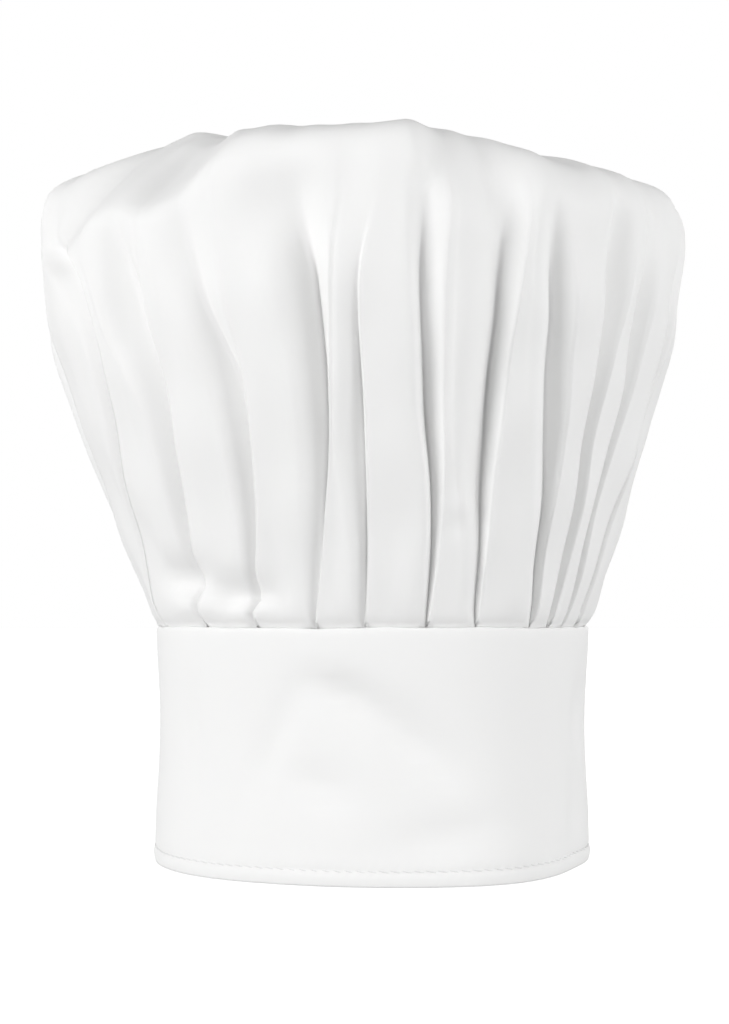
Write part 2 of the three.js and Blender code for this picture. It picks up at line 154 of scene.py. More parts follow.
# Every pleat at the seam: depth, degrees of its two sides, and lap
AT_SEAM = {"deep": 4.0, "slope": 3.0, "wall": 1.2, "lap": 2.0}
# Largest share of the way between two valleys that the two sides may take
SIDES_SHARE = 0.9
# How sharply the gentle side bends down into its valley
SLOPE_POWER = 1.6
# Share of the last level's depth that is left at this distance up the cloth
LAST_SHARE = 0.06
LAST_AT = 193.0
# Hollow of the face between two valleys
FACE_HOLLOW = 0.4
# Where up the cloth the folds turn from sharp to rounded
SOFT = (135.0, 185.0)
# Where along one pleat its steep side and its face end
WALL_END = 1 / 6
FACE_END = 4 / 6

# Broad dents of the crown, puffs where deep is below zero
Dent = namedtuple("Dent", "angle up deep across along")
CROWN_DENTS = [
    Dent(-15, 164, 2, 6, 11), Dent(18.3, 51, -1.6, 2, 4), Dent(17.2, 44, 1.6, 2.2, 4),
    Dent(-49, 24, 8.5, 8, 7), Dent(-47, 9, -2.5, 9, 5),
    Dent(-31, 17, 8, 6.5, 5.5), Dent(-31, 6, -1.5, 7, 3), Dent(-60, 40, 2, 5, 14),
    Dent(130, 190, 4, 14, 24), Dent(-140, 196, 4, 16, 22), Dent(-100, 176, 3, 12, 24),
]

# Brow over the pleats: above this rise the shoulder is cut off by a slope
Brow = namedtuple("Brow", "angle rise share")
BROW = [
    Brow(-78, 140, 0), Brow(-66, 142, 0.36), Brow(-58, 144, 0.82), Brow(-50, 152, 1),
    Brow(-43, 157, 1), Brow(-36, 157, 1), Brow(-30, 161, 1), Brow(-24, 172, 0.9),
    Brow(-19, 183, 0.6), Brow(-13, 186, 0.2), Brow(-8, 186, 0.2), Brow(3, 188, 0),
    Brow(7, 180, 0.3), Brow(11, 160, 0.4), Brow(16, 150, 0.4), Brow(21, 150, 0.4),
    Brow(25, 160, 0.3), Brow(30, 168, 0.3), Brow(36, 166, 0.35), Brow(44, 170, 0.3),
    Brow(51, 172, 0.3), Brow(58, 168, 0.3), Brow(66, 164, 0.15), Brow(76, 160, 0),
]
BROW_RADIUS = 142.0
BROW_SLOPE = 1.25
BROW_ROUND = 8.0

# Soft dents of the band's outside, each long way tilted by so many degrees
BandDent = namedtuple("BandDent", "angle height deep across along tilt")
BAND_DENTS = [
    BandDent(-9, 77, 5.6, 28, 8.5, -38), BandDent(11, 54, 5, 25, 8.5, -38),
    BandDent(-14, 38, 3.4, 14, 6, -10), BandDent(20, 20, 3, 24, 7, 8),
    BandDent(-52, 50, 2, 7, 28, 4), BandDent(-26, 58, 2.4, 30, 7, 62),
    BandDent(72, 62, 3, 10, 16, 12), BandDent(66, 22, 1.6, 10, 12, -8),
    BandDent(170, 50, 1.4, 34, 12, 28),
]
# Heights between which the dents fade out under the band's upper edge
DENT_FADE = (74, 88)

# The band's strip in section, from one turned-in edge down round the hem, up the
# outside, over the fold at the top, down the inside and round to the other edge
HEM_HEIGHT = 6.2
BandRow = namedtuple("BandRow", "height out")
BAND_STRIP = [
    BandRow(6.2, -0.75), BandRow(3, -0.7), BandRow(0.7, -0.6), BandRow(0.1, -0.2),
    BandRow(0.15, 0.1), BandRow(0.9, 0.32), BandRow(2, 0.55), BandRow(3.4, 0.75),
    BandRow(4.6, 0.72), BandRow(5.3, 0.4), BandRow(5.8, 0), BandRow(6.2, -0.25),
    BandRow(6.7, -0.25), BandRow(7.3, 0), BandRow(8.6, 0.2), BandRow(11, 0.15),
    BandRow(15, 0.08), BandRow(20, 0), BandRow(25, -0.25), BandRow(30, -0.55),
    BandRow(36, -0.9), BandRow(42, -1.15), BandRow(48, -1.35), BandRow(54, -1.5),
    BandRow(60, -1.5), BandRow(66, -1.4), BandRow(72, -1.2), BandRow(77, -0.9),
    BandRow(82, -0.6), BandRow(88, -0.2), BandRow(93, 0.05), BandRow(97, 0.25),
    BandRow(99, 0.3), BandRow(100.2, 0.1), BandRow(100.8, -0.4), BandRow(101, -1),
    BandRow(100.8, -1.6), BandRow(99.8, -2), BandRow(95, -2), BandRow(88, -2),
    BandRow(80, -2.4), BandRow(74, -2.8), BandRow(68, -3.1), BandRow(62, -3.3),
    BandRow(56, -3.45), BandRow(50, -3.45), BandRow(44, -3.25), BandRow(38, -3),
    BandRow(32, -2.75), BandRow(26, -2.55), BandRow(20, -2.35), BandRow(14, -2.15), BandRow(9, -2),
    BandRow(6.4, -2.3), BandRow(5.2, -2.75), BandRow(3, -2.8), BandRow(1, -2.65),
    BandRow(0.15, -2.2), BandRow(0.1, -1.8), BandRow(0.8, -1.45), BandRow(6.2, -1.4),
]


def curve_through(places, values, at):
    """Smooth curve through (places, values), level past both ends."""
    at = np.asarray(at, float)
    last = len(places) - 1
    places = np.asarray(places, float)
    rows = np.stack([np.broadcast_to(np.asarray(v, float), at.shape) for v in values])
    slopes = np.empty_like(rows)
    for row in range(last + 1):
        before, after = max(row - 1, 0), min(row + 1, last)
        slopes[row] = (rows[after] - rows[before]) / (places[after] - places[before])
    row = np.clip(np.searchsorted(places, at, side="left") - 1, 0, last - 1)

    def pick(table, index):
        return np.take_along_axis(table, index[None], axis=0)[0]

    span = places[row + 1] - places[row]
    t = np.clip((at - places[row]) / span, 0, 1)
    rest = 1 - t
    value = rest * rest * ((1 + 2 * t) * pick(rows, row) + t * span * pick(slopes, row))
    value = value + t * t * (
        (3 - 2 * t) * pick(rows, row + 1) - rest * span * pick(slopes, row + 1)
    )
    value = np.where(at <= places[0], rows[0], value)
    return np.where(at >= places[-1], rows[-1], value)


def smoothstep(x, start, end):
    t = np.clip((x - start) / (end - start), 0, 1)
    return t * t * (3 - 2 * t)


def gone(x, start, end):
    """How far the way from start to end has been gone, between 0 and 1."""
    return np.clip((x - start) / (end - start), 0, 1)


def turn_between(a, b):
    """Turn of a to b, in degrees, the short way round."""
    return np.mod(np.mod(b - a, 360) + 540, 360) - 180


def by_angle(table, column, angle):
    places = [row.angle for row in table]
    return curve_through(places, [getattr(row, column) for row in table], turn_between(0, angle))


def plan_share(height):
    low = 1 + (PLAN_AT_SEAM - 1) * (height / BAND_HEIGHT)
    high = PLAN_AT_SEAM * np.clip(1 - (height - BAND_HEIGHT) / PLAN_FADE, 0, None)
    return np.where(height <= BAND_HEIGHT, low, high)


def rim_lift(angle, up):
    comes = smoothstep(up, *LIFT_FROM)
    return by_angle(RIM_LIFT, "up", angle) * comes * (1 - smoothstep(up, LIFT_FROM[1], TOP))


def placed(angle, radius, height):
    """Points at angles from the front, radii and heights, on the leaning axis."""
    lean = smoothstep(height - BAND_HEIGHT, 0, LEAN_HEIGHT)
    turned = np.radians(angle)
    x = radius * np.sin(turned) + LEAN * (1 - lean)
    y = -radius * np.cos(turned)
    return np.stack(np.broadcast_arrays(x, y, height), axis=-1)


def pleat_column(name, count):
    return np.array([getattr(row, name) for row in PLEATS], float).T[..., np.mod(count, len(PLEATS))]


def valley_angle(count, up):
    turns = 360 * np.floor_divide(count, len(PLEATS))
    return turns + curve_through(LEVELS, list(pleat_column("at", count)), up)


def valley_depth(count, up):
    deep = pleat_column("deep", count)
    depths = [AT_SEAM["deep"], *deep, deep[-1] * LAST_SHARE, 0]
    return np.maximum(0, curve_through([*LEVELS, LAST_AT, TOP], depths, up))


def side_width(side, count, up):
    return curve_through(LEVELS, [AT_SEAM[side], *pleat_column(side, count)], up)


def lap_at(count, up):
    lap = pleat_column("lap", count)
    return curve_through(LEVELS, [AT_SEAM["lap"], lap, lap, lap, 0], up)


def round_fall(share):
    return (1 - np.cos(np.pi * share)) / 2


def crown_dent(angle, up):
    total = np.zeros_like(up)
    for dent in CROWN_DENTS:
        around = turn_between(dent.angle, angle) / dent.across
        high = (up - dent.up) / dent.along
        total += dent.deep * np.exp(-around * around - high * high)
    return total


def brow_cut(angle, radius, rise):
    """How far the brow's slope lies inside the shoulder."""
    above = np.maximum(0, rise - by_angle(BROW, "rise", angle))
    over = np.maximum(0, radius - BROW_RADIUS + BROW_SLOPE * above) * (above > 0)
    return by_angle(BROW, "share", angle) * over * over / (over + BROW_ROUND)


# Waves of the cloth that no pleat makes: how many turns of the wave go round the hat,
# how many millimetres up the cloth one wave takes, its depth and its start
Ripple = namedtuple("Ripple", "round up deep start")
RIPPLES = [
    Ripple(17, 150, 0.5, 0.3), Ripple(29, -95, 0.35, 1.9), Ripple(41, 210, 0.25, 4.1),
    Ripple(11, 60, 0.4, 2.6), Ripple(53, -75, 0.15, 5.2), Ripple(7, -44, 0.3, 0.9),
]
# Small puckers where the cloth is gathered into the band
PUCKERS = [
    Ripple(83, 1000, 0.35, 0.7), Ripple(131, -700, 0.25, 2.9), Ripple(59, 600, 0.3, 4.4),
]
PUCKER_FADE = 13.0
# Distances up the cloth over which the ripples and the puckers come in
RIPPLE_START = (2, 12)
PUCKER_START = (0, 3)
# How far from the last fold level to the top's middle the ripples reach
RIPPLE_END_SHARE = 0.55


def ripple_sum(ripples, angle, up):
    turned = np.radians(angle)
    total = 0
    for wave in ripples:
        total = total + wave.deep * np.sin(wave.round * turned + 2 * np.pi * up / wave.up + wave.start)
    return total


def small_folds(angle, up):
    """Depth of the ripples and puckers, none on the tuck and none near the top's middle."""
    end = LAST_AT + RIPPLE_END_SHARE * (TOP - LAST_AT)
    shown = smoothstep(up, *RIPPLE_START) * (1 - smoothstep(up, LAST_AT, end))
    gathers = np.exp(-np.maximum(up, 0) / PUCKER_FADE) * smoothstep(up, *PUCKER_START)
    return shown * ripple_sum(RIPPLES, angle, up) + gathers * ripple_sum(PUCKERS, angle, up)


def crown_points(along, up):
    """Outside of the crown. along counts pleats and the way to the next valley, up runs up the cloth."""
    along, up = np.broadcast_arrays(np.asarray(along, float), np.asarray(up, float))
    count = np.floor(along).astype(int)
    part = along - count
    climb = gone(part, 0, WALL_END)
    face = gone(part, WALL_END, FACE_END)
    fall = gone(part, FACE_END, 1)

    start = valley_angle(count, up)
    width = valley_angle(count + 1, up) - start
    wall = side_width("wall", count, up)
    slope = side_width("slope", count + 1, up)
    squeeze = np.minimum(1, SIDES_SHARE * width / (wall + slope))
    wall, slope = wall * squeeze, slope * squeeze
    face_width = width - wall - slope

    radius_here = curve_through(UPS, [row.radius for row in OUTLINE], up)
    rise_here = curve_through(UPS, [row.rise for row in OUTLINE], up)
    lap = np.where(part < WALL_END, climb, (1 - face) ** 2)
    lap_turn = np.degrees(lap_at(count, up) / np.maximum(radius_here, 1)) * lap
    angle = start + wall * climb + face_width * face + slope * fall - lap_turn

    soft = smoothstep(up, *SOFT)
    wall_drop = (1 - climb) * (1 - soft) + round_fall(1 - climb) * soft
    slope_drop = fall ** SLOPE_POWER * (1 - soft) + round_fall(fall) * soft
    drop = valley_depth(count, up) * wall_drop + valley_depth(count + 1, up) * slope_drop
    hollow = np.where(up > 0, FACE_HOLLOW * np.sin(np.pi * face) * (1 - soft), 0)

    ahead = curve_through(UPS, [row.rise for row in OUTLINE], up + 1)
    behind = curve_through(UPS, [row.rise for row in OUTLINE], up - 1)
    steep = np.clip((ahead - behind) / 2, 0, 1)
    flat = np.sqrt(1 - steep ** 2)
    inward = drop + hollow + crown_dent(angle, up) + small_folds(angle, up)
    plan = by_angle(PLAN, "out", angle) * plan_share(BAND_HEIGHT + rise_here)
    brow = brow_cut(angle, radius_here, rise_here)
    radius = np.maximum(0, radius_here + plan - brow - inward * steep)
    return placed(angle, radius, BAND_HEIGHT + rise_here - inward * flat + rim_lift(angle, up))


def band_dent(angle, height):
    share = 1 - smoothstep(height, *DENT_FADE)
    total = 0
    for dent in BAND_DENTS:
        tilt = math.radians(dent.tilt)
        around = np.radians(turn_between(dent.angle, angle)) * BAND_RADIUS
        high = height - dent.height
        lengthwise = around * math.cos(tilt) + high * math.sin(tilt)
        sideways = high * math.cos(tilt) - around * math.sin(tilt)
        near = (lengthwise / dent.across) ** 2 + (sideways / dent.along) ** 2
        total = total + share * dent.deep * np.exp(-near)
    return total


# Puckers between the stitches: number round the hem, depth, reach up and down, slant
HEM_PUCKERS = 128
HEM_PUCKER_DEEP = 0.16
HEM_PUCKER_REACH = 2.4
HEM_PUCKER_SLANT = 0.8
# Waves of the band's top fold: turns round the band, start and height, and where they fade in
EDGE_WAVES = [(5, 20, 0.18), (13, 75, 0.14), (31, 10, 0.1)]
EDGE_FADE = (90, 100)


def hem_pucker(angle, height):
    """The cloth's small slanting puckers between the hem's stitches."""
    above = height - HEM_HEIGHT
    near = np.exp(-(above / HEM_PUCKER_REACH) ** 2)
    return HEM_PUCKER_DEEP * near * np.cos(np.radians(HEM_PUCKERS * angle) - HEM_PUCKER_SLANT * above)


def edge_rise(angle, height):
    """How unevenly the fold at the band's top runs."""
    near = smoothstep(height, *EDGE_FADE)
    return near * sum(deep * np.sin(np.radians(turns * angle + start)) for turns, start, deep in EDGE_WAVES)


def band_points(angle, height, out):
    radius = BAND_RADIUS + out - band_dent(angle, height) + hem_pucker(angle, height)
    radius = radius + by_angle(PLAN, "out", angle) * plan_share(height)
    return placed(angle, radius, height + edge_rise(angle, height))


# Making the pieces

# Columns of the fine mesh over one pleat: on its steep side, its face and its gentle side
PLEAT_COLUMNS = (5, 8, 7)
# How much closer together the face's columns stand towards the steep side
FACE_CROWDING = 1.3
CROWN_RINGS = 95
# Distance of the last ring from the middle of the top
LAST_RING = 2.0
BAND_COLUMNS = 480
# Where up the cloth the weave keeps its true width
WEAVE_LEVEL = 95.0


def deselect_all():
    for thing in bpy.context.selected_objects:
        thing.select_set(False)


def mesh_piece(name, points, faces):
    """Piece at the origin whose place is in its mesh, from points in millimetres."""
    mesh = bpy.data.meshes.new(name)
    mesh.from_pydata((points * MM).tolist(), [], faces)
    mesh.update()
    piece = bpy.data.objects.new(name, mesh)
    bpy.context.scene.collection.objects.link(piece)
    for polygon in mesh.polygons:
        polygon.use_smooth = True
    return piece


def ring_faces(rings, columns, closed_rings=False):
    """Quads between rings of columns that go right round."""
    faces = []
    for ring in range(rings if closed_rings else rings - 1):
        here, above = ring * columns, ((ring + 1) % rings) * columns
        for column in range(columns):
            after = (column + 1) % columns
            faces.append((here + column, here + after, above + after, above + column))
    return faces


def lay_uv(piece, across, along):
    """UV map in metres: across the cloth by column and along it by ring, for each corner."""
    mesh = piece.data
    columns = len(across) - 1
    layer = mesh.uv_layers.new(name="weave")
    uv = np.zeros((len(mesh.loops), 2), np.float32)
    for polygon in mesh.polygons:
        corners = [mesh.loops[i].vertex_index for i in polygon.loop_indices]
        wraps = {c % columns for c in corners} >= {0, columns - 1}
        for loop, corner in zip(polygon.loop_indices, corners):
            ring, column = divmod(corner, columns)
            if wraps and column == 0:
                column = columns
            uv[loop] = across[column] * MM, along[min(ring, len(along) - 1)] * MM
    layer.data.foreach_set("uv", uv.ravel())


def apply_modifier(piece, name):
    deselect_all()
    bpy.context.view_layer.objects.active = piece
    piece.select_set(True)
    bpy.ops.object.modifier_apply(modifier=name)
    piece.select_set(False)


def thicken(piece, wall):
    """Gives the cloth its wall, on the inner side of its outside."""
    solid = piece.modifiers.new("wall", "SOLIDIFY")
    solid.thickness = wall
    solid.offset = -1
    solid.use_even_offset = False
    apply_modifier(piece, "wall")


def pleat_parts():
    wall, face, slope = PLEAT_COLUMNS
    face_share = np.linspace(0, 1, face, endpoint=False) ** FACE_CROWDING
    return np.concatenate([
        np.linspace(0, WALL_END, wall, endpoint=False),
        WALL_END + (FACE_END - WALL_END) * face_share,
        np.linspace(FACE_END, 1, slope, endpoint=False),
    ])


def arc_across(points):
    """Distance round a closed ring of points at each of them and back at the first."""
    steps = np.linalg.norm(np.diff(np.concatenate([points, points[:1]]), axis=0), axis=1)
    return np.concatenate([[0], np.cumsum(steps)])


class CottonSettings(bpy.types.PropertyGroup):
    colour: bpy.props.FloatVectorProperty(
        name="Cotton colour",
        description="Colour of the bleached cotton",
        subtype="COLOR", size=3, min=0, max=1, default=(0.905, 0.9, 0.885),
    )
    wall: bpy.props.FloatProperty(
        name="Cloth thickness",
        description="Thickness of one layer of the cotton",
        unit="LENGTH", min=0.0002, max=0.002, default=0.0006,
    )
    thread_pitch: bpy.props.FloatProperty(
        name="Thread pitch",
        description="Distance from one thread of the weave to the next",
        unit="LENGTH", min=0.0002, max=0.003, default=0.00045,
    )
    thread_depth: bpy.props.FloatProperty(
        name="Thread depth",
        description="Depth of the furrows between the threads",
        unit="LENGTH", min=0, max=0.0005, default=0.00006,
    )


class StitchSettings(bpy.types.PropertyGroup):
    length: bpy.props.FloatProperty(
        name="Stitch length",
        description="Length of one stitch of the hem",
        unit="LENGTH", min=0.001, max=0.01, default=0.0040,
    )
    pitch: bpy.props.FloatProperty(
        name="Stitch pitch",
        description="Distance from one stitch to the next",
        unit="LENGTH", min=0.0015, max=0.012, default=0.0047,
    )
    thread: bpy.props.FloatProperty(
        name="Thread diameter",
        description="Diameter of the sewing thread",
        unit="LENGTH", min=0.0002, max=0.001, default=0.0005,
    )
    colour: bpy.props.FloatVectorProperty(
        name="Thread colour",
        description="Colour of the sewing thread",
        subtype="COLOR", size=3, min=0, max=1, default=(0.86, 0.86, 0.86),
    )


class StageSettings(bpy.types.PropertyGroup):
    floor: bpy.props.FloatVectorProperty(
        name="Floor colour",
        description="Colour of the pale floor",
        subtype="COLOR", size=3, min=0, max=1, default=(0.45, 0.45, 0.45),
    )
    surround: bpy.props.FloatProperty(
        name="Surround light",
        description="Strength of the even light from all round",
        min=0, max=2, default=0.88,
    )
    backdrop: bpy.props.FloatProperty(
        name="Backdrop",
        description="Brightness of the white behind the hat",
        min=0, max=2, default=1.0,
    )


# Cotton: shading, then the weave's share of the surface height beside the slubs
COTTON_ROUGHNESS = 0.88
COTTON_SPECULAR = 0.25
COTTON_SHEEN = 0.15
SHEEN_ROUGHNESS = 0.5
WEAVE_SHARE = 0.6
WEAVE_STRENGTH = 0.75
# Slubs for each metre across and along the cloth, in the threads of either direction
SLUBS_ACROSS = (220, 1500, 1)
SLUBS_ALONG = (1500, 180, 1)
SLUB_DETAIL = 3
# Mottle: patches for each metre, detail, range of the noise and tone of the darker patches
MOTTLE_SCALE = 28
MOTTLE_DETAIL = 4
MOTTLE_RANGE = (0.3, 0.7)
MOTTLE_TONE = 0.985
# Thread: roughness, twists for each metre, tone of the furrows and their depth in metres
THREAD_ROUGHNESS = 0.6
TWIST_SCALE = 2500
TWIST_TONE = 0.93
TWIST_DEPTH = 0.00005


def weave_nodes(tree, coordinates, pitch):
    """Height of a plain weave, over and under in turn, from coordinates in metres."""
    nodes, links = tree.nodes, tree.links
    scale = nodes.new("ShaderNodeVectorMath")
    scale.operation = "SCALE"
    scale.inputs["Scale"].default_value = math.pi / pitch
    links.new(coordinates, scale.inputs[0])
    split = nodes.new("ShaderNodeSeparateXYZ")
    links.new(scale.outputs[0], split.inputs[0])
    waves = []
    for axis in "XY":
        wave = nodes.new("ShaderNodeMath")
        wave.operation = "SINE"
        links.new(split.outputs[axis], wave.inputs[0])
        waves.append(wave)
    cross = nodes.new("ShaderNodeMath")
    cross.operation = "MULTIPLY"
    links.new(waves[0].outputs[0], cross.inputs[0])
    links.new(waves[1].outputs[0], cross.inputs[1])
    height = nodes.new("ShaderNodeMath")
    height.operation = "ABSOLUTE"
    links.new(cross.outputs[0], height.inputs[0])
    return height.outputs[0]


def slub_nodes(tree, coordinates, slubs):
    """Long thin thickenings of the threads that run one way."""
    nodes, links = tree.nodes, tree.links
    slub = nodes.new("ShaderNodeTexNoise")
    slub.inputs["Scale"].default_value = 1.0
    slub.inputs["Detail"].default_value = SLUB_DETAIL
    stretch = nodes.new("ShaderNodeMapping")
    stretch.inputs["Scale"].default_value = slubs
    links.new(coordinates, stretch.inputs["Vector"])
    links.new(stretch.outputs["Vector"], slub.inputs["Vector"])
    return slub.outputs["Fac"]


def cotton_material(name, settings):
    """Matt plain-woven cotton: fine weave, slubs and a slight mottle, on the UV map."""
    material = bpy.data.materials.new(name)
    material.use_nodes = True
    tree = material.node_tree
    nodes, links = tree.nodes, tree.links
    shader = nodes["Principled BSDF"]
    shader.inputs["Roughness"].default_value = COTTON_ROUGHNESS
    shader.inputs["Specular IOR Level"].default_value = COTTON_SPECULAR
    shader.inputs["Sheen Weight"].default_value = COTTON_SHEEN
    shader.inputs["Sheen Roughness"].default_value = SHEEN_ROUGHNESS

    uv = nodes.new("ShaderNodeUVMap")
    uv.uv_map = "weave"
    weave = weave_nodes(tree, uv.outputs["UV"], settings.thread_pitch)
    threads = nodes.new("ShaderNodeMath")
    threads.operation = "ADD"
    links.new(slub_nodes(tree, uv.outputs["UV"], SLUBS_ACROSS), threads.inputs[0])
    links.new(slub_nodes(tree, uv.outputs["UV"], SLUBS_ALONG), threads.inputs[1])
    cloth = nodes.new("ShaderNodeMath")
    cloth.operation = "MULTIPLY_ADD"
    links.new(weave, cloth.inputs[0])
    cloth.inputs[1].default_value = WEAVE_SHARE
    links.new(threads.outputs[0], cloth.inputs[2])

    bump = nodes.new("ShaderNodeBump")
    bump.inputs["Strength"].default_value = WEAVE_STRENGTH
    bump.inputs["Distance"].default_value = settings.thread_depth
    links.new(cloth.outputs[0], bump.inputs["Height"])
    links.new(bump.outputs["Normal"], shader.inputs["Normal"])

    place = nodes.new("ShaderNodeTexCoord")
    mottle = nodes.new("ShaderNodeTexNoise")
    mottle.inputs["Scale"].default_value = MOTTLE_SCALE
    mottle.inputs["Detail"].default_value = MOTTLE_DETAIL
    links.new(place.outputs["Object"], mottle.inputs["Vector"])
    tone = nodes.new("ShaderNodeValToRGB")
    for element, position in zip(tone.color_ramp.elements, MOTTLE_RANGE):
        element.position = position
    colour = np.array(settings.colour)
    tone.color_ramp.elements[0].color = (*(colour * MOTTLE_TONE), 1)
    tone.color_ramp.elements[1].color = (*colour, 1)
    links.new(mottle.outputs["Fac"], tone.inputs["Fac"])
    links.new(tone.outputs["Color"], shader.inputs["Base Color"])
    return material


def thread_material(name, settings):
    """Twisted sewing thread with a faint gloss."""
    material = bpy.data.materials.new(name)
    material.use_nodes = True
    tree = material.node_tree
    nodes, links = tree.nodes, tree.links
    shader = nodes["Principled BSDF"]
    shader.inputs["Roughness"].default_value = THREAD_ROUGHNESS
    place = nodes.new("ShaderNodeTexCoord")
    twist = nodes.new("ShaderNodeTexNoise")
    twist.inputs["Scale"].default_value = TWIST_SCALE
    links.new(place.outputs["Object"], twist.inputs["Vector"])
    tone = nodes.new("ShaderNodeValToRGB")
    colour = np.array(settings.colour)
    tone.color_ramp.elements[0].color = (*(colour * TWIST_TONE), 1)
    tone.color_ramp.elements[1].color = (*colour, 1)
    links.new(twist.outputs["Fac"], tone.inputs["Fac"])
    links.new(tone.outputs["Color"], shader.inputs["Base Color"])
    bump = nodes.new("ShaderNodeBump")
    bump.inputs["Distance"].default_value = TWIST_DEPTH
    links.new(twist.outputs["Fac"], bump.inputs["Height"])
    links.new(bump.outputs["Normal"], shader.inputs["Normal"])
    return material


def cotton_for_hat():
    found = bpy.data.materials.get("cotton")
    return found or cotton_material("cotton", bpy.context.scene.chef_hat_cotton)


class CHEFHAT_OT_crown(bpy.types.Operator):
    """Makes the crown: one disc of cotton, pleated into the band and puffed out above it"""

    bl_idname = "chefhat.crown"
    bl_label = "Crown"

    def execute(self, context):
        parts = pleat_parts()
        along = (np.arange(len(PLEATS))[:, None] + parts[None]).ravel()
        ups = np.linspace(-TUCK, TOP - LAST_RING, CROWN_RINGS)
        points = crown_points(along[None, :], ups[:, None]).reshape(-1, 3)
        columns = len(along)
        faces = ring_faces(CROWN_RINGS, columns)
        middle = placed(0.0, 0.0, BAND_HEIGHT + OUTLINE[-1].rise)
        points = np.concatenate([points, middle[None]])
        last = (CROWN_RINGS - 1) * columns
        faces += [(last + c, last + (c + 1) % columns, len(points) - 1) for c in range(columns)]
        crown = mesh_piece("crown_cloth", points, faces)
        across = arc_across(crown_points(along, np.full(columns, WEAVE_LEVEL)))
        lay_uv(crown, across, ups)
        thicken(crown, context.scene.chef_hat_cotton.wall)
        crown.data.materials.append(cotton_for_hat())
        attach(crown, "root")
        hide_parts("crown")
        return {"FINISHED"}


class CHEFHAT_OT_band(bpy.types.Operator):
    """Makes the band: a doubled strip of cotton with a fold at its top and a stitched hem"""

    bl_idname = "chefhat.band"
    bl_label = "Band"

    def execute(self, context):
        angles = np.arange(BAND_COLUMNS) * 360 / BAND_COLUMNS
        heights = np.array([row.height for row in BAND_STRIP])
        outs = np.array([row.out for row in BAND_STRIP])
        points = band_points(angles[None, :], heights[:, None], outs[:, None]).reshape(-1, 3)
        band = mesh_piece("band_cloth", points, ring_faces(len(BAND_STRIP), BAND_COLUMNS))
        across = np.radians(np.arange(BAND_COLUMNS + 1) * 360 / BAND_COLUMNS) * BAND_RADIUS
        steps = np.hypot(np.diff(heights), np.diff(outs))
        lay_uv(band, across, np.concatenate([[0], np.cumsum(steps)]))
        thicken(band, context.scene.chef_hat_cotton.wall)
        band.data.materials.append(cotton_for_hat())
        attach(band, "root")
        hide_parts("band")
        return {"FINISHED"}


# Stitches: slant in degrees, how far their line lies from the band's radius in millimetres
STITCH_SLANT = 12.0
STITCH_LINE_OUT = -0.05
# Points on that line, and how far ahead in metres its direction is read
STITCH_LINE_POINTS = 3601
STITCH_AHEAD = 0.001


class CHEFHAT_OT_stitches(bpy.types.Operator):
    """Sews the hem: a line of short stitches round the band above its lower edge"""

    bl_idname = "chefhat.stitches"
    bl_label = "Hem stitches"

    def execute(self, context):
        settings = context.scene.chef_hat_stitches
        deselect_all()
        bpy.ops.mesh.primitive_uv_sphere_add(segments=8, ring_count=6, radius=0.5)
        stitch = context.object
        stitch.name = "hem_stitches"
        size = Matrix.Diagonal((settings.length, settings.thread, settings.thread, 1))
        stitch.data.transform(size)
        bpy.ops.object.shade_smooth()

        dense = np.linspace(-180, 180, STITCH_LINE_POINTS)
        heights = np.full(dense.shape, HEM_HEIGHT)
        outs = np.full(dense.shape, STITCH_LINE_OUT)
        line = band_points(dense, heights, outs) * MM
        run = np.concatenate([[0], np.cumsum(np.linalg.norm(np.diff(line, axis=0), axis=1))])
        number = int(round(run[-1] / settings.pitch))
        copies = []
        for index in range(number):
            at = (index + 0.5) * run[-1] / number
            place = Vector([np.interp(at, run, line[:, axis]) for axis in range(3)])
            ahead = Vector([np.interp(at + STITCH_AHEAD, run, line[:, axis]) for axis in range(3)])
            toward = (ahead - place).normalized()
            out = toward.cross(Vector((0, 0, 1))).normalized()
            upright = out.cross(toward)
            turned = Matrix((toward, out, upright)).transposed().to_4x4()
            slant = Matrix.Rotation(math.radians(STITCH_SLANT), 4, "Y")
            each = stitch if index == number - 1 else stitch.copy()
            if each is not stitch:
                each.data = stitch.data.copy()
                context.scene.collection.objects.link(each)
                copies.append(each)
            each.data.transform(Matrix.Translation(place) @ turned @ slant)
        deselect_all()
        for each in copies:
            each.select_set(True)
        stitch.select_set(True)
        context.view_layer.objects.active = stitch
        bpy.ops.object.join()
        deselect_all()
        stitch.data.name = "hem_stitches"
        stitch.data.materials.append(thread_material("sewing_thread", settings))
        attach(stitch, "root")
        return {"FINISHED"}


# Camera: place, turn, and the sensor and focal length in millimetres
CAMERA_PLACE = (0.0013, -0.770, 0.106)
CAMERA_TURN = (math.radians(93.41), 0, 0)
CAMERA_SENSOR = 36.0
CAMERA_LENS = 60.79
CAMERA_CLIP = 0.02

# Softboxes round the hat: degrees to the right of the front and above the hat's middle
Light = namedtuple("Light", "name azimuth elevation power")
LIGHTS = [
    Light("side_left_softbox", -80, 4, 3), Light("left_softbox", -50, 4, 31),
    Light("right_softbox", 50, 4, 18.5), Light("side_right_softbox", 80, 4, 8),
    Light("top_softbox", 0, 88, 0.9), Light("far_top_softbox", 90, 30, 1),
]
LIGHT_DISTANCE = 2.2
LIGHT_SIZE = 1.2
LIGHT_AIM = (0, 0, 0.16)
# Floor: width, how far it lies under the hem, and its roughness
FLOOR_WIDTH = 24
FLOOR_DROP = 0.0002
FLOOR_ROUGHNESS = 0.9
# Light that the floor casts, and how white it shows near the hat and far from it; the dimmer white near the
# hat is painted shade round the hat, on top of its real shadow
FLOOR_GLOW = 0.1
FLOOR_PAINTED_SHADE_NEAR = 0.88
FLOOR_FAR = 1.0
FLOOR_PAINTED_SHADE_REACH = (0.15, 0.9)
# The surround's light straight overhead, as a share of the light at the floor's level
OVERHEAD_SHARE = 0.12


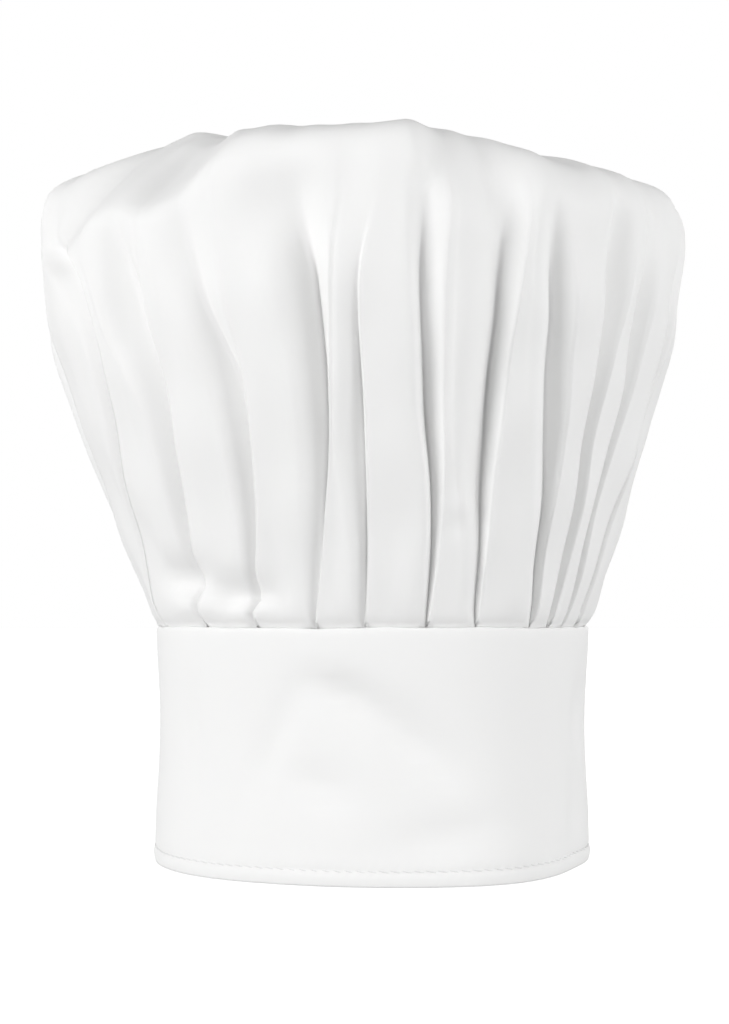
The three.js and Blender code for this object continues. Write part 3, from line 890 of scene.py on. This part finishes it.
class CHEFHAT_OT_stage(bpy.types.Operator):
    """Sets the stage: a pale floor, soft lights and the camera"""

    bl_idname = "chefhat.stage"
    bl_label = "Stage"

    def execute(self, context):
        settings = context.scene.chef_hat_stage
        self.lay_floor(settings)
        self.set_surround(settings)
        for light in LIGHTS:
            self.hang_light(light)
        camera = bpy.data.objects.new("camera", bpy.data.cameras.new("camera"))
        context.scene.collection.objects.link(camera)
        camera.location = CAMERA_PLACE
        camera.rotation_euler = CAMERA_TURN
        camera.data.sensor_width = CAMERA_SENSOR
        camera.data.lens = CAMERA_LENS
        camera.data.clip_start = CAMERA_CLIP
        context.scene.camera = camera
        context.scene.view_settings.view_transform = "Standard"
        return {"FINISHED"}

    def lay_floor(self, settings):
        deselect_all()
        bpy.ops.mesh.primitive_plane_add(size=FLOOR_WIDTH, location=(0, 0, -FLOOR_DROP))
        floor = bpy.context.object
        floor.name = "floor"
        material = bpy.data.materials.new("pale_floor")
        material.use_nodes = True
        nodes, links = material.node_tree.nodes, material.node_tree.links
        shader = nodes["Principled BSDF"]
        shader.inputs["Base Color"].default_value = (*settings.floor, 1)
        shader.inputs["Roughness"].default_value = FLOOR_ROUGHNESS
        shader.inputs["Emission Color"].default_value = (1, 1, 1, 1)
        place = nodes.new("ShaderNodeTexCoord")
        away = nodes.new("ShaderNodeVectorMath")
        away.operation = "LENGTH"
        links.new(place.outputs["Object"], away.inputs[0])
        # Painted shade: the white the camera sees on the floor is dimmer near the hat and full far from it
        painted_floor_shade = nodes.new("ShaderNodeMapRange")
        painted_floor_shade.inputs["From Min"].default_value = FLOOR_PAINTED_SHADE_REACH[0]
        painted_floor_shade.inputs["From Max"].default_value = FLOOR_PAINTED_SHADE_REACH[1]
        painted_floor_shade.inputs["To Min"].default_value = FLOOR_PAINTED_SHADE_NEAR
        painted_floor_shade.inputs["To Max"].default_value = FLOOR_FAR
        links.new(away.outputs["Value"], painted_floor_shade.inputs["Value"])
        strength = shader.inputs["Emission Strength"]
        either = self.seen_and_cast(nodes, links, FLOOR_FAR, FLOOR_GLOW, strength)
        links.new(painted_floor_shade.outputs["Result"], either.inputs["B"])
        floor.data.materials.append(material)
        floor.select_set(False)

    def set_surround(self, settings):
        world = bpy.data.worlds.new("studio")
        bpy.context.scene.world = world
        world.use_nodes = True
        nodes, links = world.node_tree.nodes, world.node_tree.links
        background = nodes["Background"]
        background.inputs["Color"].default_value = (1, 1, 1, 1)
        strength = background.inputs["Strength"]
        either = self.seen_and_cast(nodes, links, settings.backdrop, settings.surround, strength)
        place = nodes.new("ShaderNodeTexCoord")
        upright = nodes.new("ShaderNodeSeparateXYZ")
        links.new(place.outputs["Object"], upright.inputs[0])
        dimmer = nodes.new("ShaderNodeMapRange")
        dimmer.inputs["To Min"].default_value = settings.surround
        dimmer.inputs["To Max"].default_value = settings.surround * OVERHEAD_SHARE
        links.new(upright.outputs["Z"], dimmer.inputs["Value"])
        links.new(dimmer.outputs["Result"], either.inputs["A"])

    def seen_and_cast(self, nodes, links, seen, cast, strength):
        """Sets one strength for the white that shows and one for the light that it casts."""
        path = nodes.new("ShaderNodeLightPath")
        either = nodes.new("ShaderNodeMix")
        either.inputs["A"].default_value = cast
        either.inputs["B"].default_value = seen
        links.new(path.outputs["Is Camera Ray"], either.inputs["Factor"])
        links.new(either.outputs["Result"], strength)
        return either

    def hang_light(self, light):
        data = bpy.data.lights.new(light.name, "AREA")
        data.size = LIGHT_SIZE
        data.energy = light.power
        lamp = bpy.data.objects.new(light.name, data)
        bpy.context.scene.collection.objects.link(lamp)
        azimuth, elevation = math.radians(light.azimuth), math.radians(light.elevation)
        away = Vector((
            math.sin(azimuth) * math.cos(elevation),
            -math.cos(azimuth) * math.cos(elevation),
            math.sin(elevation),
        ))
        lamp.location = Vector(LIGHT_AIM) + away * LIGHT_DISTANCE
        lamp.rotation_euler = (-away).to_track_quat("-Z", "Y").to_euler()


class CHEFHAT_PT_parts(bpy.types.Panel):
    """Lists the hat's pieces and their sizes"""

    bl_idname = "CHEFHAT_PT_parts"
    bl_label = "Chef hat"
    bl_space_type = "VIEW_3D"
    bl_region_type = "UI"
    bl_category = "Chef hat"

    def draw(self, context):
        for operator in OPERATORS:
            self.layout.operator(operator.bl_idname)
        for name in SETTINGS:
            box = self.layout.box()
            settings = getattr(context.scene, name)
            for key in settings.bl_rna.properties.keys():
                if key not in {"rna_type", "name"}:
                    box.prop(settings, key)


OPERATORS = (CHEFHAT_OT_crown, CHEFHAT_OT_band, CHEFHAT_OT_stitches, CHEFHAT_OT_stage)
SETTINGS = {
    "chef_hat_cotton": CottonSettings,
    "chef_hat_stitches": StitchSettings,
    "chef_hat_stage": StageSettings,
}


def register():
    for group in (*SETTINGS.values(), *OPERATORS, CHEFHAT_PT_parts):
        bpy.utils.register_class(group)
    for name, group in SETTINGS.items():
        setattr(bpy.types.Scene, name, bpy.props.PointerProperty(type=group))


def unregister():
    for name in SETTINGS:
        delattr(bpy.types.Scene, name)
    for group in reversed((*SETTINGS.values(), *OPERATORS, CHEFHAT_PT_parts)):
        bpy.utils.unregister_class(group)


def main():
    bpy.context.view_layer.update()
    register()
    bpy.ops.chefhat.crown()
    bpy.ops.chefhat.band()
    bpy.ops.chefhat.stitches()
    bpy.ops.chefhat.stage()
    bpy.context.view_layer.update()


if __name__ == "__main__":
    main()
